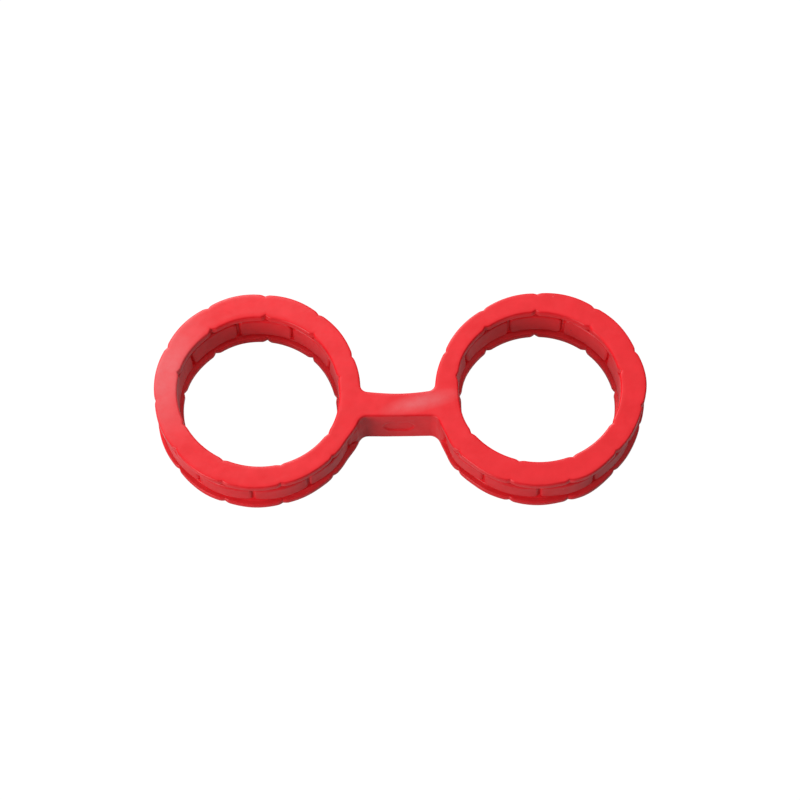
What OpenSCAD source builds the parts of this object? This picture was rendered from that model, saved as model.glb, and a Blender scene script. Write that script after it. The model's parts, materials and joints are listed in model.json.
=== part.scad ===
// Double ring moulded in soft rubber: two link-patterned rings lying flat,
// joined by one short, flexible bridge. Millimetres, +Z up.
// The origin is midway between the ring centres, on the surface it lies on.
// The opening of each ring takes a wrist. The bridge lies on the -Y side of
// the line between the centres, because both rings are swung a little to +Y.

/* [Rings] */
// Distance between the two ring centres
centre_distance = 112; // [108:1:120]
// Outer radius of a ring, at the middle of a link
outer_r = 42.3; // [41:0.1:43]
// Inner radius of the upper course
inner_r = 32.5; // [31.5:0.1:33]
// How much smaller the opening is at the bottom than at the top
opening_draft = 1; // [0:0.1:1.4]
// Height of the rings and of the bridge
ring_h = 21.4; // [20:0.1:24]
// Angle that each ring is swung out of line, towards +Y
swing = 9.5; // [6:0.5:11]

/* [Links] */
// Links round the outside of a ring
outer_links = 11; // [9:1:13]
// Links round the inside of a ring
inner_links = 9; // [7:1:11]
// Angle below the line of centres of the left ring's outer joint in the bridge
left_outer_joint = 11.5; // [8:0.5:13]
// The same angle on the right ring
right_outer_joint = 7.5; // [6:0.5:13]
// Angle above the line of centres of the left ring's inner joint in the bridge
left_inner_joint = 5.5; // [0:0.5:12]
// The same angle on the right ring
right_inner_joint = 8.5; // [0:0.5:12]
// Height of the upper course and of the lower course
course_h = 3.4; // [2.5:0.1:4]
// Height of the groove between two courses
groove_h = 1.6; // [1:0.1:2]
// How far the outer faces of the middle links lie behind the others
outer_recess = 0.9; // [0.6:0.1:1.2]
// How far the inner faces of the middle links lie behind the others
inner_recess = 0.5; // [0.3:0.1:0.8]
// Depth of the grooves, from the faces of the middle links
groove_depth = 1.2; // [1.1:0.1:1.6]
// Distance from the ring centre to the centre of a link's outer curve
link_offset = 8; // [4:0.5:14]
// Depth of the notches between the links of the upper and lower courses
notch_depth = 0.8; // [0.5:0.1:1]

/* [Bridge] */
// Width of the bridge, front to back, at its middle
bridge_w = 10; // [8:0.5:11]
// Radius of the hollow curve of the bridge's back
back_curve_r = 70; // [50:5:120]
// Fillets between the bridge's front and the rings
front_fillet_r = 4.5; // [3:0.5:5]
// Fillets between the bridge's back and the rings
back_fillet_r = 3; // [2:0.5:3.5]
// Length of each flexing neck
neck_l = 7; // [6:0.5:7.5]
// Half the length of the stiff middle of the bridge
half_bar_l = 5; // [4:0.5:5]

/* [Blank panel] */
// Length of the recessed panel in the bridge's front
panel_l = 12; // [9.5:0.5:13]
// Height of the panel
panel_h = 8; // [6:0.5:9]
// Depth of the panel
panel_depth = 0.5; // [0.3:0.1:0.8]

/* [Hidden] */
$fn = 96;
red = [0.86, 0.10, 0.13];
deep_red = [0.62, 0.06, 0.09];
mid_red = [0.74, 0.08, 0.11];

ring_x = centre_distance / 2;
outer_pitch = 360 / outer_links;
inner_pitch = 360 / inner_links;
middle_outer_r = outer_r - outer_recess;
middle_inner_r = inner_r + inner_recess;
core_outer_r = middle_outer_r - groove_depth;
core_inner_r = middle_inner_r + groove_depth;
lower_inner_r = inner_r - opening_draft;
middle_h = ring_h - 2 * course_h;
link_h = middle_h - 2 * groove_h;
notch_r = 1.2;
slot_r = 1.1;
slack = 0.1;
left_joints = [-left_outer_joint, left_inner_joint];
right_joints = [-right_outer_joint, right_inner_joint];

bridge_y = -outer_r * sin(swing);
front_y = bridge_y - bridge_w / 2;
back_y = bridge_y + bridge_w / 2;
curve_centre = [0, back_y + back_curve_r];
root_x = half_bar_l + neck_l;
panel_end_r = panel_h / 2;
panel_straight = panel_l / 2 - panel_end_r;

// The crossing of two circles that lies on the left of the way from a to b
function crossing(a, a_r, b, b_r) =
    let (
        d = norm(b - a),
        u = (b - a) / d,
        along = (d * d + a_r * a_r - b_r * b_r) / (2 * d),
        aside = sqrt(a_r * a_r - along * along)
    )
    a + along * u + aside * [-u.y, u.x];

// Centre of the front fillet: it touches the ring and the straight front
front_fillet = let (y = front_y - front_fillet_r, r = outer_r + front_fillet_r)
    [sqrt(r * r - y * y) - ring_x, y];

// Centre of the back fillet: it touches the ring and the hollow back
back_fillet = crossing(curve_centre, back_curve_r - back_fillet_r,
                       [-ring_x, 0], outer_r + back_fillet_r);

function mirrored(p) = [-p.x, p.y];

// Outline of a ring whose outer face swells over each link. first is the
// angle of a joint between two links. Each sector laps over its neighbours.
module lobes(r, first) {
    side = r * tan(outer_pitch * 0.8);
    for (i = [0 : outer_links - 1])
        rotate(first + (i + 0.5) * outer_pitch)
            intersection() {
                translate([link_offset, 0]) circle(r - link_offset);
                polygon([[0, 0], [r, -side], [2 * r, 0], [r, side]]);
            }
}

// One round cutter at every joint between the links of one face
module link_joints(count, at_r, cut_r, first) {
    for (i = [0 : count - 1])
        rotate(first + i * 360 / count) translate([at_r, 0]) circle(cut_r);
}

// Plan of the upper or lower course. joints holds the angles of one joint of
// the outer face and one of the inner face.
module outer_course_plan(in_r, joints) {
    difference() {
        lobes(outer_r, joints[0]);
        circle(in_r);
        link_joints(outer_links, outer_r + notch_r - notch_depth, notch_r, joints[0]);
        link_joints(inner_links, in_r - notch_r + notch_depth, notch_r, joints[1]);
    }
}

// Plan of the middle links, half a pitch out of step with the others
module middle_links_plan(joints) {
    outer_first = joints[0] + outer_pitch / 2;
    inner_first = joints[1] + inner_pitch / 2;
    difference() {
        lobes(middle_outer_r, outer_first);
        circle(middle_inner_r);
        link_joints(outer_links, core_outer_r + slot_r + slack, slot_r, outer_first);
        link_joints(inner_links, core_inner_r - slot_r - slack, slot_r, inner_first);
    }
}

// Plan of the plain band that the middle links stand on
module band_plan() {
    difference() {
        circle(core_outer_r);
        circle(core_inner_r);
    }
}

// Plan of the bridge and its fillets, out to the bands of both rings
module bridge_plan() {
    ring = [-ring_x, 0];
    difference() {
        polygon([
            ring, front_fillet, [front_fillet.x, front_y],
            [-front_fillet.x, front_y], mirrored(front_fillet), mirrored(ring),
            mirrored(back_fillet), back_fillet
        ]);
        translate(curve_centre) circle(back_curve_r);
        for (side = [0, 1]) mirror([side, 0]) {
            translate(front_fillet) circle(front_fillet_r);
            translate(back_fillet) circle(back_fillet_r);
            translate(ring) circle(core_outer_r);
        }
    }
}

// The bridge's plan between two values of x
module plan_slice(x0, x1) {
    intersection() {
        bridge_plan();
        translate([x0, -outer_r]) square([x1 - x0, 2 * outer_r]);
    }
}

// A layer of the left ring, with room for the root of the bridge
module ring_layer(z, h) {
    translate([0, 0, z]) linear_extrude(h)
        difference() {
            translate([-ring_x, 0]) children();
            plan_slice(-ring_x, -root_x);
        }
}

module bridge_slice(x0, x1) {
    linear_extrude(ring_h) plan_slice(x0, x1);
}

// Cutter of the blank panel, a flat recess with round ends
module panel() {
    translate([0, front_y - slack, ring_h / 2]) rotate([-90, 0, 0]) {
        for (side = [-1, 1])
            translate([side * panel_straight, 0, 0])
                cylinder(r = panel_end_r, h = panel_depth + slack);
        translate([-panel_straight, -panel_end_r, 0])
            cube([2 * panel_straight, panel_h, panel_depth + slack]);
    }
}

module bridge_root() color(red) bridge_slice(-ring_x, -root_x);
module neck() color(mid_red) bridge_slice(-root_x, -half_bar_l);
module bridge_half() color(red) difference() {
    bridge_slice(-half_bar_l, 0);
    panel();
}

module lower_links(joints) color(red)
    ring_layer(0, course_h) outer_course_plan(lower_inner_r, joints);

module middle_links(joints) color(deep_red) {
    ring_layer(course_h, middle_h) band_plan();
    ring_layer(course_h + groove_h, link_h) middle_links_plan(joints);
}

module upper_links(joints) color(red)
    ring_layer(ring_h - course_h, course_h) outer_course_plan(inner_r, joints);

module left_lower_links() lower_links(left_joints);
module left_middle_links() middle_links(left_joints);
module left_upper_links() upper_links(left_joints);
module left_bridge_root() bridge_root();
module left_neck() neck();
module left_bridge_half() bridge_half();
module right_bridge_half() mirror([1, 0, 0]) bridge_half();
module right_neck() mirror([1, 0, 0]) neck();
module right_bridge_root() mirror([1, 0, 0]) bridge_root();
module right_lower_links() mirror([1, 0, 0]) lower_links(right_joints);
module right_middle_links() mirror([1, 0, 0]) middle_links(right_joints);
module right_upper_links() mirror([1, 0, 0]) upper_links(right_joints);

left_lower_links();
left_middle_links();
left_upper_links();
left_bridge_root();
left_neck();
left_bridge_half();
right_bridge_half();
right_neck();
right_bridge_root();
right_lower_links();
right_middle_links();
right_upper_links();
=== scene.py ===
"""Looks of a soft red double ring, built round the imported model.

Lengths are millimetres and angles degrees until a mesh or a camera is made.
The left cuff is described and the right one mirrors it, each with its own
link phase. Walls are grids of columns, which follow the outline seen from
above, and rows, which follow the section from top to bottom.
"""
import json
import math

import bmesh
import bpy
import numpy as np
from mathutils import Matrix, Vector


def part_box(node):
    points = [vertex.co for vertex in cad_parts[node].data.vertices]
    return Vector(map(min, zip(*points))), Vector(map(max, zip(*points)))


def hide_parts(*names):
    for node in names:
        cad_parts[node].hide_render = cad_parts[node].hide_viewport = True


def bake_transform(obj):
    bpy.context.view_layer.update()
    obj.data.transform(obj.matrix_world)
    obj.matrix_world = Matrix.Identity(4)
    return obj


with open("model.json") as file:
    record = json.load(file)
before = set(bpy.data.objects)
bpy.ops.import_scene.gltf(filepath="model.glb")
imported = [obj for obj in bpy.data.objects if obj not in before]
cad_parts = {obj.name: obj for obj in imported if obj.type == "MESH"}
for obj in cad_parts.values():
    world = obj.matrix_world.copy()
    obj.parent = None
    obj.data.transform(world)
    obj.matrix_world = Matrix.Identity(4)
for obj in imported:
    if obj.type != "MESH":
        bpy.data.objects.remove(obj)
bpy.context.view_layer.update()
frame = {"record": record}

MM = 0.001


def span(node, axis):
    """Lowest and highest place of a CAD node along an axis, in millimetres."""
    low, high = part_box(node)
    return low[axis] / MM, high[axis] / MM


# ---------------------------------------------------------------- dimensions
MOUNTS = {mount["name"]: mount for mount in frame["record"]["mounts"]}
RING_X = abs(MOUNTS["left_opening"]["pos_m"][0]) / MM
RING_H = span("left_neck", 2)[1]
COURSE_H = span("left_lower_links", 2)[1]
FRONT_Y = span("left_neck", 1)[0]
HALF_BAR = -span("left_neck", 0)[1]
HALF_BAR_BACK_Y = span("left_bridge_half", 1)[1]

OUTER_R = 42.3
INNER_R = 32.5
DRAFT = 1.5  # the opening is this much smaller in radius at the bottom
# Each cuff, in the left cuff's frame. The faces of the soft rings are a little
# out of true. joint: the angle of one joint between a face's links. grow: how
# much larger its radius is. shift: how far it sits off the ring's centre.
# stretch and long_way: how far out of round it is, and in which direction.
# bulges and slips: where it lies farther out, and where its links sit farther
# round, each with the angle of its middle, its half width and its greatest size
CUFFS = {
    "left": {
        "outer": {"joint": -11.5, "grow": -0.3, "shift": (-0.6, 0.35), "stretch": 0.6, "long_way": -81,
                  "bulges": ((-117, 18, 0.3), (-42, 16, 0.5)), "slips": ()},
        "inner": {"joint": 5.5, "grow": 0.1, "shift": (0.1, -0.3), "stretch": 0.5, "long_way": -39,
                  "bulges": ((8, 40, -0.6), (132, 30, -0.4)), "slips": ((22, 60, 4.4),)},
        "mirrored": False,
    },
    "right": {
        "outer": {"joint": -7.5, "grow": -0.2, "shift": (-0.4, -0.35), "stretch": 0.65, "long_way": -55,
                  "bulges": ((178, 30, 0.95), (-38, 15, 0.8), (-114, 18, 0.6)),
                  "slips": ((180, 80, 3.2), (30, 30, -2))},
        "inner": {"joint": 8.8, "grow": 0.3, "shift": (0.2, 0.25), "stretch": 0.2, "long_way": -5,
                  "bulges": ((-2, 30, -1.1),), "slips": ((-50, 100, -4.6), (40, 70, 3.5))},
        "mirrored": True,
    },
}

LINK_OFFSET = 9.0  # from the ring centre to the centre of a link's outer curve
CORNER_R = 2.2  # corners of the middle links
EDGE_SHARE = 0.8  # the middle links' edges round off at most this share of their depth
LIP_R, HOLLOW_R = 0.45, 0.35  # edges of the rims at a groove, corners of a groove's floor
NOTCH_POWER = 1.5  # sharpness of the notches: 1 has straight sides
FADE = 3.2  # the outer relief dies out over this length before a fillet

FRONT_FILLET_R = 4.5
BACK_FILLET_R = 3.0
BACK_CURVE_R = 70.0
SEAM_X = 4.6
PANEL_STRAIGHT, PANEL_END_R, PANEL_DEPTH, PANEL_SLOPE = 2.0, 4.0, 0.5, 0.6

# Distances of the grid columns from a joint, up to half way to the next one
COLUMN_STEPS = [0, 0.14, 0.32, 0.54, 0.8, 1.1, 1.45, 1.9, 2.5, 3.4, 4.6]
FACE_ROWS = 20
CAP_RINGS = 7
FILLET_COLUMNS = 12
BAR_COLUMN = 0.35
BAR_SKIN_ROWS = 10
COLUMN_GAP = 0.12  # least angle between grid columns
COLUMN_REACH = 0.45  # the steps fill up to this share of the way to the next joint
ROW_GAP = 0.03  # height between the rows at the two ends of a groove's side wall
MERGE_GAP = 0.004  # points closer than this become one
CRISP_EDGE = 62  # edges that turn by at least this angle stay crisp
TRUE_SECTOR = 14  # the outer wall comes true over this angle before the front fillet
TRUE_BAND = 4.0  # points within this distance of the outer face belong to that wall
TRUE_END = 8.0  # the bridge comes true over this length before the seam

# The relief of the outer and of the inner wall. Depths are behind the outermost
# face. recess: faces of the middle links; groove and groove_h: depth, behind
# those faces, and height of the grooves between courses; notch and notch_half:
# depth and half width of the V between two links of the upper or lower course;
# slot_half and slot_flat: half widths of the slot between two middle links, at
# its mouth and on its floor; edge_r and link_edge_r: rounding of the rims and of
# the middle links; swell: 1 where each link swells outwards; deeper_back: by
# what share a notch is deeper at the back and shallower in front
OUTSIDE = {"links": 11, "recess": 0.9, "groove": 1.4, "groove_h": 2.3, "link_edge_r": 1.5,
           "notch": 0.5, "notch_half": 2.0, "slot_half": 1.5, "slot_flat": 0.25,
           "edge_r": 0.8, "swell": 1, "deeper_back": 0}
INSIDE = {"links": 9, "recess": 0.85, "groove": 1.3, "groove_h": 1.9, "link_edge_r": 0.8,
          "notch": 0.8, "notch_half": 2.1, "slot_half": 1.6, "slot_flat": 0.35,
          "edge_r": 0.8, "swell": 0, "deeper_back": 0.35}


# ------------------------------------------------------------------ geometry
def smooth(t):
    """A smooth step from 0 to 1."""
    t = np.clip(t, 0, 1)
    return t * t * (3 - 2 * t)


def rays(degrees):
    """Unit vectors in plan at these angles."""
    a = np.radians(degrees)
    return np.stack([np.cos(a), np.sin(a)], -1)


def heading(v):
    """Angle of a vector in plan."""
    return math.degrees(math.atan2(v[1], v[0]))


def crossing(a, a_r, b, b_r):
    """The crossing of two circles that lies on the left of the way from a to b."""
    d = np.linalg.norm(b - a)
    u = (b - a) / d
    along = (d * d + a_r * a_r - b_r * b_r) / (2 * d)
    return a + along * u + math.sqrt(a_r * a_r - along * along) * np.array([-u[1], u[0]])


def hollow_y(x, low_y):
    """The hollow back of the bridge, whose middle is at low_y."""
    return low_y + BACK_CURVE_R - np.sqrt(BACK_CURVE_R**2 - np.square(x))


BACK_Y = HALF_BAR_BACK_Y - hollow_y(HALF_BAR, 0)
RING = np.array([-RING_X, 0.0])
CURVE = np.array([0.0, BACK_Y + BACK_CURVE_R])
fillet_y = FRONT_Y - FRONT_FILLET_R
fillet_x = math.sqrt((OUTER_R + FRONT_FILLET_R) ** 2 - fillet_y**2) - RING_X
FRONT_FILLET = np.array([fillet_x, fillet_y])
BACK_FILLET = crossing(CURVE, BACK_CURVE_R - BACK_FILLET_R, RING, OUTER_R + BACK_FILLET_R)
FRONT_ANGLE = heading(FRONT_FILLET - RING)
BACK_ANGLE = heading(BACK_FILLET - RING)
BAR_BACK = CURVE + (BACK_FILLET - CURVE) * BACK_CURVE_R / (BACK_CURVE_R - BACK_FILLET_R)


def from_joint(angle, joint, pitch):
    """Angles measured from the nearest link joint, given the angle of one joint."""
    return (angle - joint + pitch / 2) % pitch - pitch / 2


def swell_drop(off_joint, pitch):
    """How far a swelling link's outer face lies inside its crest."""
    off_crest = np.radians(pitch / 2 - np.abs(off_joint))
    r = OUTER_R - LINK_OFFSET
    aside = LINK_OFFSET * np.sin(off_crest)
    return OUTER_R - LINK_OFFSET * np.cos(off_crest) - np.sqrt(r * r - aside**2)


def quarter(count):
    """Angles of a quarter turn, in radians."""
    return np.linspace(0, math.pi / 2, count)


def slot_share(s, half, flat):
    """1 in the slot between two blocks, falling to 0 round their rounded edges."""
    x = np.clip(1 - (np.abs(s) - flat) / (half - flat), 0, 1)
    return 1 - np.sqrt(1 - x * x)


def corner_drop(s, flat):
    """How far a block's rounded corner falls away from its long edge."""
    x = np.clip(CORNER_R - np.maximum(np.abs(s) - flat, 0), 0, CORNER_R)
    return CORNER_R - np.sqrt(CORNER_R**2 - x * x)


def section(relief, angle, first, radius, share):
    """Depths and heights of a wall, as (rows, columns), from its top to its bottom.

    angle holds the columns' angles, first is the angle of one joint of the
    upper and lower courses, and share is how much of the relief each column has.
    """
    pitch = 360 / relief["links"]
    course_turn = from_joint(angle, first, pitch)
    middle_turn = from_joint(angle, first + pitch / 2, pitch)
    course_s = np.radians(course_turn) * radius
    middle_s = np.radians(middle_turn) * radius
    notch = np.clip(1 - np.abs(course_s) / relief["notch_half"], 0, 1) ** NOTCH_POWER
    notch = notch * (1 + relief["deeper_back"] * np.sin(np.radians(angle)))
    face = relief["notch"] * notch + relief["swell"] * swell_drop(course_turn, pitch)
    link = relief["recess"] + relief["swell"] * swell_drop(middle_turn, pitch)
    floor = relief["recess"] + relief["groove"]
    slot = slot_share(middle_s, relief["slot_half"], relief["slot_flat"])
    link = link + (floor - link) * slot
    proud = (floor - link) / relief["groove"]
    start = COURSE_H + relief["groove_h"] + share * corner_drop(middle_s, relief["slot_flat"])
    rim_r = relief["edge_r"]
    link_r = relief["link_edge_r"]
    edge = np.minimum(link_r, EDGE_SHARE * (floor - link))
    lip = COURSE_H - LIP_R

    # Rows from the rim to the middle links: relief, plain depth, distance from the rim
    rows = []
    for a in quarter(6):
        rows.append((face, rim_r * (1 - math.sin(a)), rim_r * (1 - math.cos(a))))
    rows.append((face, 0, (rim_r + lip) / 2))
    for a in quarter(4):
        rows.append((face + LIP_R * (1 - math.cos(a)), 0, lip + LIP_R * math.sin(a)))
    for a in quarter(3):
        down = COURSE_H + ROW_GAP + HOLLOW_R * (1 - math.cos(a))
        rows.append((floor - HOLLOW_R * (1 - math.sin(a)), 0, down))
    for a in quarter(3)[::-1]:
        down = start - ROW_GAP - HOLLOW_R * (1 - math.cos(a))
        rows.append((floor - HOLLOW_R * (1 - math.sin(a)) * proud, 0, down))
    for a in quarter(5):
        down = start + link_r * (1 - math.cos(a))
        rows.append((link + edge * (1 - math.sin(a)), 0, down))

    flat = np.zeros_like(angle)
    depth = [share * r + plain + flat for r, plain, down in rows]
    down = [d + flat for r, plain, d in rows]
    face_shares = np.linspace(0, 1, FACE_ROWS + 2)[1:-1]
    face_height = [RING_H - down[-1] + t * (2 * down[-1] - RING_H) for t in face_shares]
    height = [RING_H - d for d in down] + face_height + down[::-1]
    depth = depth + [share * link] * FACE_ROWS + depth[::-1]
    return np.stack(depth), np.stack(height)


def panel_depth(x, z):
    """Depth of the blank panel in the bridge's front."""
    off_middle = np.hypot(np.maximum(np.abs(x) - PANEL_STRAIGHT, 0), z - RING_H / 2)
    return PANEL_DEPTH * smooth((PANEL_END_R - off_middle) / PANEL_SLOPE + 0.5)


def wall(plan, inward, depth, height):
    """Points of a wall: points in plan moved inward by depth, at these heights."""
    xy = plan[None] + inward[None] * depth[..., None]
    return np.concatenate([xy, height[..., None]], -1)


def bar_wall(x, y, inward_y):
    """The front or the back wall of the bridge, at these columns."""
    flat = np.zeros_like(x)
    depth, height = section(OUTSIDE, flat, 0, OUTER_R, flat)
    if inward_y > 0:
        depth = depth + panel_depth(x[None], height)
    return wall(np.stack([x, y + flat], -1), np.stack([flat, flat + inward_y], -1), depth, height)


def bar_walls(x_front, x_back):
    """Front and back walls of the bridge."""
    return bar_wall(x_front, FRONT_Y, 1), bar_wall(x_back, hollow_y(x_back, BACK_Y), -1)


def between(a, b, shares):
    """Points on the straight ways from a to b, with the shares as a new last-but-one axis."""
    t = shares[:, None]
    return a[..., None, :] * (1 - t) + b[..., None, :] * t


def bar_skins(front, back, shares):
    """Top and underside of the bridge between its front and back walls."""
    return [between(front[0], back[0], shares), between(front[-1], back[-1], shares)]


def bumps(angle, parts):
    """Sum of smooth bumps round a ring, each with its middle, half width and height."""
    total = np.zeros_like(angle)
    for middle, half, height in parts:
        total += height * smooth(1 - np.abs(from_joint(angle, middle, 360)) / half)
    return total


def offset(face, angle):
    """How far a face of a soft ring lies outside its true place, at an angle in radians."""
    around = face["shift"][0] * np.cos(angle) + face["shift"][1] * np.sin(angle)
    oval = face["stretch"] * np.cos(2 * (angle - math.radians(face["long_way"])))
    return face["grow"] + around + oval + bumps(np.degrees(angle), face["bulges"])


def settled(points, cuff):
    """Moves a cuff's points to where the soft rubber lies, and leaves the seam in place."""
    rel = points[..., :2] - RING
    angle = np.arctan2(rel[..., 1], rel[..., 0])
    radius = np.linalg.norm(rel, axis=-1)
    share = np.clip((radius - INNER_R) / (OUTER_R - INNER_R), 0, 1)
    move = offset(cuff["inner"], angle) * (1 - share) + offset(cuff["outer"], angle) * share
    move *= smooth((-SEAM_X - points[..., 0]) / TRUE_END)
    off_front = np.abs(np.degrees(angle) - FRONT_ANGLE)
    move *= np.where(radius > OUTER_R - TRUE_BAND, smooth(off_front / TRUE_SECTOR), 1)
    moved = points.copy()
    moved[..., :2] += rel / radius[..., None] * move[..., None]
    return moved


def joint_columns(relief, face, radius):
    """Grid angles round a ring, dense at the joints of all the courses of a face."""
    half_pitch = 180 / relief["links"]
    steps = np.degrees(np.array(COLUMN_STEPS) / radius)
    steps = steps[steps < COLUMN_REACH * half_pitch]
    offsets = np.concatenate([-steps[:0:-1], steps, [half_pitch / 2]])
    joints = face["joint"] + half_pitch * np.arange(-2, 2 * relief["links"] + 2)
    slipped = joints + bumps(joints + bumps(joints, face["slips"]), face["slips"])
    return (slipped[:, None] + offsets).ravel()


def thinned(angles, gap):
    """Sorted angles without those that come within gap of the one before."""
    kept = []
    for angle in np.sort(angles):
        if not kept or angle - kept[-1] > gap:
            kept.append(angle)
    return np.array(kept)


def cuff_grids(cuff):
    """All the surfaces of a cuff: its ring, and its bridge up to the seam."""
    bar_low = heading(np.array([FRONT_FILLET[0], FRONT_Y]) - RING)
    bar_high = heading(BAR_BACK - RING)

    outside, inside = cuff["outer"], cuff["inner"]
    grid = thinned(np.concatenate([joint_columns(OUTSIDE, outside, OUTER_R),
                                   joint_columns(INSIDE, inside, INNER_R)]), COLUMN_GAP)
    ring = grid[(grid > BACK_ANGLE + COLUMN_GAP) & (grid < 360 + FRONT_ANGLE - COLUMN_GAP)][::-1]
    gap = grid[(grid > bar_low + COLUMN_GAP) & (grid < bar_high - COLUMN_GAP)][::-1]

    # The outer wall: round the ring clockwise from the front fillet to the back one
    front_arc = rays(np.linspace(90, heading(RING - FRONT_FILLET), FILLET_COLUMNS))
    start, end = heading(RING - BACK_FILLET) % 360, heading(BAR_BACK - BACK_FILLET) % 360
    back_arc = rays(np.linspace(start, end, FILLET_COLUMNS))
    plan = np.concatenate([FRONT_FILLET + FRONT_FILLET_R * front_arc,
                           RING + OUTER_R * rays(ring),
                           BACK_FILLET + BACK_FILLET_R * back_arc])
    inward = np.concatenate([front_arc, -rays(ring), back_arc])
    off_fillet = np.radians(np.minimum(ring - BACK_ANGLE, 360 + FRONT_ANGLE - ring)) * OUTER_R
    plain = np.zeros(FILLET_COLUMNS)
    share = np.concatenate([plain, smooth(off_fillet / FADE), plain])
    angle = np.degrees(np.unwrap(np.arctan2(plan[:, 1], plan[:, 0] + RING_X)))
    pattern = angle - bumps(angle, outside["slips"])
    outer = wall(plan, inward, *section(OUTSIDE, pattern, outside["joint"], OUTER_R, share))

    # The inner wall: the same columns, then those behind the bridge, and closed
    gap_share = (bar_high - gap) / (bar_high - bar_low)
    inner_angle = np.concatenate([angle, gap - 360, angle[:1] - 360])
    whole = np.ones(len(inner_angle))
    pattern = inner_angle - bumps(inner_angle, inside["slips"])
    depth, height = section(INSIDE, pattern, inside["joint"], INNER_R, whole)
    radius = INNER_R + depth - DRAFT * (RING_H - height) / RING_H
    inner = np.concatenate([RING + rays(inner_angle) * radius[..., None], height[..., None]], -1)

    grids = [outer, inner]
    across = np.linspace(0, 1, CAP_RINGS + 1)
    for row in (0, -1):
        behind_bar = between(outer[row, -1], outer[row, 0], gap_share)
        edge = np.concatenate([outer[row], behind_bar, outer[row, :1]])
        grids.append(between(inner[row], edge, across))

    # The bridge, from the fillets to the seam
    bar_columns = 1 + round((-SEAM_X - BAR_BACK[0]) / BAR_COLUMN)
    front, back = bar_walls(np.linspace(FRONT_FILLET[0], -SEAM_X, bar_columns),
                            np.linspace(BAR_BACK[0], -SEAM_X, bar_columns))
    front[:, 0], back[:, 0] = outer[:, 0], outer[:, -1]
    shares = np.concatenate([[0], 1 - gap_share[::-1], [1]])
    grids += [front, back] + bar_skins(front, back, shares)
    grids.append(between(front[:, -1], back[:, -1], shares))
    return [settled(points, cuff) for points in grids]


def middle_grids():
    """All the surfaces of the middle of the bridge, between the seams."""
    x = np.linspace(-SEAM_X, SEAM_X, 1 + round(2 * SEAM_X / BAR_COLUMN))
    front, back = bar_walls(x, x)
    shares = np.linspace(0, 1, BAR_SKIN_ROWS + 1)
    ends = [between(front[:, k], back[:, k], shares) for k in (0, -1)]
    return [front, back] + bar_skins(front, back, shares) + ends


def add_grid(bm, points):
    """Adds quads for a grid of points in millimetres."""
    rows, columns = points.shape[:2]
    verts = [[bm.verts.new(p) for p in row] for row in (points * MM).tolist()]
    for i in range(rows - 1):
        for j in range(columns - 1):
            bm.faces.new((verts[i][j], verts[i + 1][j], verts[i + 1][j + 1], verts[i][j + 1]))


def make_piece(name, grids, mirrored=False):
    """One closed mesh from its grids. Edges that turn sharply stay crisp."""
    bm = bmesh.new()
    for points in grids:
        add_grid(bm, points)
    bmesh.ops.remove_doubles(bm, verts=bm.verts, dist=MERGE_GAP * MM)
    if mirrored:
        bmesh.ops.transform(bm, matrix=Matrix.Scale(-1, 4, (1, 0, 0)), verts=bm.verts)
    bmesh.ops.recalc_face_normals(bm, faces=bm.faces)
    for face in bm.faces:
        face.smooth = True
    for edge in bm.edges:
        edge.smooth = edge.calc_face_angle(0) < math.radians(CRISP_EDGE)
    mesh = bpy.data.meshes.new(name)
    bm.to_mesh(mesh)
    bm.free()
    piece = bpy.data.objects.new(name, mesh)
    bpy.context.scene.collection.objects.link(piece)
    return piece


# ----------------------------------------------------------------- materials
def node(tree, kind, **inputs):
    """Adds a shader node. Names with socket_ set inputs, the others properties."""
    made = tree.nodes.new(kind)
    for key, value in inputs.items():
        if key.startswith("socket_"):
            made.inputs[key[7:].replace("_", " ")].default_value = value
        else:
            setattr(made, key, value)
    return made


def noise(tree, coords, scale, detail, roughness=0.55):
    """Noise of a size given per metre, as a value round 0.5."""
    made = node(tree, "ShaderNodeTexNoise", socket_Scale=scale, socket_Detail=detail)
    made.inputs["Roughness"].default_value = roughness
    tree.links.new(coords, made.inputs["Vector"])
    return made.outputs["Fac"]


def spread(tree, value, low, high, to_low=0.0, to_high=1.0):
    """A value from low to high, spread from to_low to to_high and clamped."""
    made = node(tree, "ShaderNodeMapRange", socket_From_Min=low, socket_From_Max=high)
    made.inputs["To Min"].default_value = to_low
    made.inputs["To Max"].default_value = to_high
    tree.links.new(value, made.inputs["Value"])
    return made.outputs["Result"]


def mixed(tree, share, a, b):
    """Mix of two colours, each a colour or a socket."""
    made = node(tree, "ShaderNodeMix", data_type="RGBA")
    tree.links.new(share, made.inputs["Factor"])
    for name, value in (("A", a), ("B", b)):
        target = [s for s in made.inputs if s.name == name and s.type == "RGBA"][0]
        if isinstance(value, tuple):
            target.default_value = value
        else:
            tree.links.new(value, target)
    return [s for s in made.outputs if s.type == "RGBA"][0]


def patch(tree, coords, centre, turn, size):
    """1 at a place in millimetres, falling to 0 at the edge of an ellipsoid of this half size."""
    made = node(tree, "ShaderNodeMapping", vector_type="TEXTURE", socket_Scale=Vector(size) * MM,
                socket_Location=Vector(centre) * MM, socket_Rotation=(0, 0, math.radians(turn)))
    tree.links.new(coords, made.inputs["Vector"])
    reach = node(tree, "ShaderNodeVectorMath", operation="LENGTH")
    tree.links.new(made.outputs["Vector"], reach.inputs[0])
    return spread(tree, reach.outputs["Value"], 0.2, 1, 1, 0)


def product(tree, a, b):
    """Product of two values."""
    made = node(tree, "ShaderNodeMath", operation="MULTIPLY")
    tree.links.new(a, made.inputs[0])
    tree.links.new(b, made.inputs[1])
    return made.outputs["Value"]


def larger(tree, a, b):
    """The larger of two values."""
    made = node(tree, "ShaderNodeMath", operation="MAXIMUM")
    tree.links.new(a, made.inputs[0])
    tree.links.new(b, made.inputs[1])
    return made.outputs["Value"]


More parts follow.
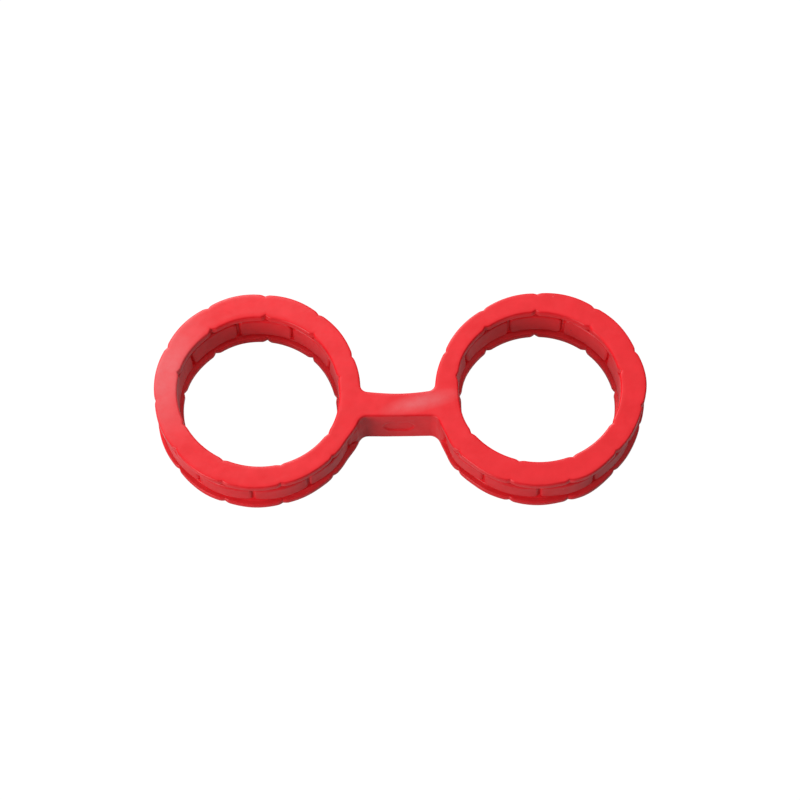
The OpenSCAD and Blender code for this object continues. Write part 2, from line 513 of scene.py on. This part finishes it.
DEEP_RED, BRIGHT_RED = (0.74, 0.008, 0.014, 1), (0.80, 0.012, 0.020, 1)
DARK_SPECK, PALE_SPECK = (0.45, 0.01, 0.02, 1), (0.90, 0.16, 0.17, 1)
# Pale red of the flow streak on the bridge and of the painted sheen on the left cuff
SHEEN_AND_STREAK_RED = (0.74, 0.10, 0.11, 1)


def rubber():
    """Soft moulded rubber: slightly mottled, with fine grain, a faint flow streak, small specks and a
    painted sheen on the left cuff's top.
    """
    material = bpy.data.materials.new("soft_red_rubber")
    material.use_nodes = True
    tree = material.node_tree
    tree.nodes.clear()
    coords = node(tree, "ShaderNodeTexCoord").outputs["Object"]

    mottle = noise(tree, coords, 140, 4)
    colour = mixed(tree, spread(tree, mottle, 0.35, 0.65), DEEP_RED, BRIGHT_RED)
    for scale, shade, size in ((60, DARK_SPECK, 0.012), (47, PALE_SPECK, 0.010)):
        cell = node(tree, "ShaderNodeTexVoronoi", feature="F1", socket_Scale=scale)
        tree.links.new(coords, cell.inputs["Vector"])
        speck = spread(tree, cell.outputs["Distance"], size, size * 2.4, 1, 0)
        colour = mixed(tree, speck, colour, shade)

    # The paler patch on the left cuff's top is a painted sheen; the pale streak across the bridge's top
    # is a flow mark
    painted_sheen = patch(tree, coords, (-98, 10, RING_H), 0, (30, 38, 12))
    streak = patch(tree, coords, (9, -6, RING_H), 14, (18, 4.6, 8))
    sheen_and_streak = larger(tree, painted_sheen, streak)
    sheen_and_streak = product(tree, sheen_and_streak, spread(tree, noise(tree, coords, 220, 5, 0.65), 0.25, 0.6, 0.55, 1))
    colour = mixed(tree, sheen_and_streak, colour, SHEEN_AND_STREAK_RED)

    shader = node(tree, "ShaderNodeBsdfPrincipled")
    tree.links.new(colour, shader.inputs["Base Color"])
    shader.inputs["IOR"].default_value = 1.45
    shader.inputs["Specular IOR Level"].default_value = 0.36
    blotch = noise(tree, coords, 260, 5, 0.6)
    tree.links.new(spread(tree, blotch, 0.3, 0.7, 0.32, 0.42), shader.inputs["Roughness"])

    grain = node(tree, "ShaderNodeBump", socket_Strength=0.35, socket_Distance=0.00006)
    tree.links.new(noise(tree, coords, 2600, 3), grain.inputs["Height"])
    waves = node(tree, "ShaderNodeBump", socket_Strength=0.35, socket_Distance=0.0005)
    tree.links.new(noise(tree, coords, 110, 2), waves.inputs["Height"])
    tree.links.new(grain.outputs["Normal"], waves.inputs["Normal"])
    tree.links.new(waves.outputs["Normal"], shader.inputs["Normal"])
    output = node(tree, "ShaderNodeOutputMaterial")
    tree.links.new(shader.outputs["BSDF"], output.inputs["Surface"])
    return material


WHITE = 1.12  # strength at which the backdrop shows as pure white


def pale_floor():
    """White to the camera, pale in reflections and grey in the light that it throws back."""
    material = bpy.data.materials.new("pale_floor")
    material.use_nodes = True
    tree = material.node_tree
    tree.nodes.clear()
    grey = node(tree, "ShaderNodeBsdfDiffuse", socket_Color=(0.36, 0.36, 0.36, 1))
    glow = node(tree, "ShaderNodeEmission", socket_Strength=WHITE)
    ray = node(tree, "ShaderNodeLightPath").outputs
    seen = spread(tree, ray["Is Camera Ray"], 0, 1, 0, 0.9)
    mirrored = spread(tree, ray["Is Glossy Ray"], 0, 1, 0, 0.2)
    blend = node(tree, "ShaderNodeMixShader")
    tree.links.new(larger(tree, seen, mirrored), blend.inputs[0])
    tree.links.new(grey.outputs["BSDF"], blend.inputs[1])
    tree.links.new(glow.outputs["Emission"], blend.inputs[2])
    output = node(tree, "ShaderNodeOutputMaterial")
    tree.links.new(blend.outputs["Shader"], output.inputs["Surface"])
    material.cycles.emission_sampling = "NONE"
    return material


# -------------------------------------------------------------------- pieces
red = rubber()
CUFF_NODES = ("lower_links", "middle_links", "upper_links", "bridge_root", "neck")

for side, shape in CUFFS.items():
    cuff = make_piece(f"{side}_cuff", cuff_grids(shape), shape["mirrored"])
    cuff.data.materials.append(red)
    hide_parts(*[f"{side}_{part}" for part in CUFF_NODES])
    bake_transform(cuff)

bridge = make_piece("bridge_middle", middle_grids())
bridge.data.materials.append(red)
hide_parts("left_bridge_half", "right_bridge_half")
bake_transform(bridge)


# ----------------------------------------------------------- camera and light
scene = bpy.context.scene


def aim(obj, location, target):
    """Puts an object at a place, looking at a target, both in millimetres."""
    obj.location = Vector(location) * MM
    towards = (Vector(target) - Vector(location)).normalized()
    obj.rotation_euler = towards.to_track_quat("-Z", "Y").to_euler()


def soft_light(name, location, size, power):
    """A large soft lamp aimed at the origin; size in millimetres, power in watts."""
    lamp = bpy.data.lights.new(name, "AREA")
    lamp.shape = "DISK"
    lamp.size = size * MM
    lamp.energy = power
    holder = bpy.data.objects.new(name, lamp)
    scene.collection.objects.link(holder)
    aim(holder, location, (0, 0, 0))


CAMERA_PLACE = (6.4, -518.5, 1189.5)
PITCH_DOWN, YAW, ROLL = 66.271, -0.651, -1.318

camera_data = bpy.data.cameras.new("camera")
camera_data.lens = 144
camera_data.sensor_width = 36
camera_data.clip_start = 0.05
camera_data.clip_end = 60
camera = bpy.data.objects.new("camera", camera_data)
scene.collection.objects.link(camera)
down, yaw, roll = (math.radians(a) for a in (PITCH_DOWN, YAW, ROLL))
forward = Vector((math.sin(yaw) * math.cos(down), math.cos(yaw) * math.cos(down), -math.sin(down)))
level = Vector((math.cos(yaw), -math.sin(yaw), 0))
upright = level.cross(forward)
right = math.cos(roll) * level + math.sin(roll) * upright
up = math.cos(roll) * upright - math.sin(roll) * level
turned = Matrix((right, up, -forward)).transposed().to_4x4()
camera.matrix_world = Matrix.Translation(Vector(CAMERA_PLACE) * MM) @ turned
scene.camera = camera

bpy.ops.mesh.primitive_plane_add(size=8)
floor = bpy.context.active_object
floor.name = "floor"
floor.data.materials.append(pale_floor())

soft_light("back", (-350, 1000, 880), 500, 15.5)
soft_light("key", (-800, -700, 260), 420, 7.5)

world = bpy.data.worlds.new("studio")
world.use_nodes = True
sky = world.node_tree
background = sky.nodes["Background"]
background.inputs["Color"].default_value = (1, 1, 1, 1)
up_share = node(sky, "ShaderNodeSeparateXYZ")
sky.links.new(node(sky, "ShaderNodeTexCoord").outputs["Generated"], up_share.inputs["Vector"])
sky_light = spread(sky, up_share.outputs["Z"], 0.55, 0.95, 0.06, 1)
seen_white = spread(sky, node(sky, "ShaderNodeLightPath").outputs["Is Camera Ray"], 0, 1, 0, WHITE)
sky.links.new(larger(sky, sky_light, seen_white), background.inputs["Strength"])
scene.world = world
scene.view_settings.view_transform = "Standard"
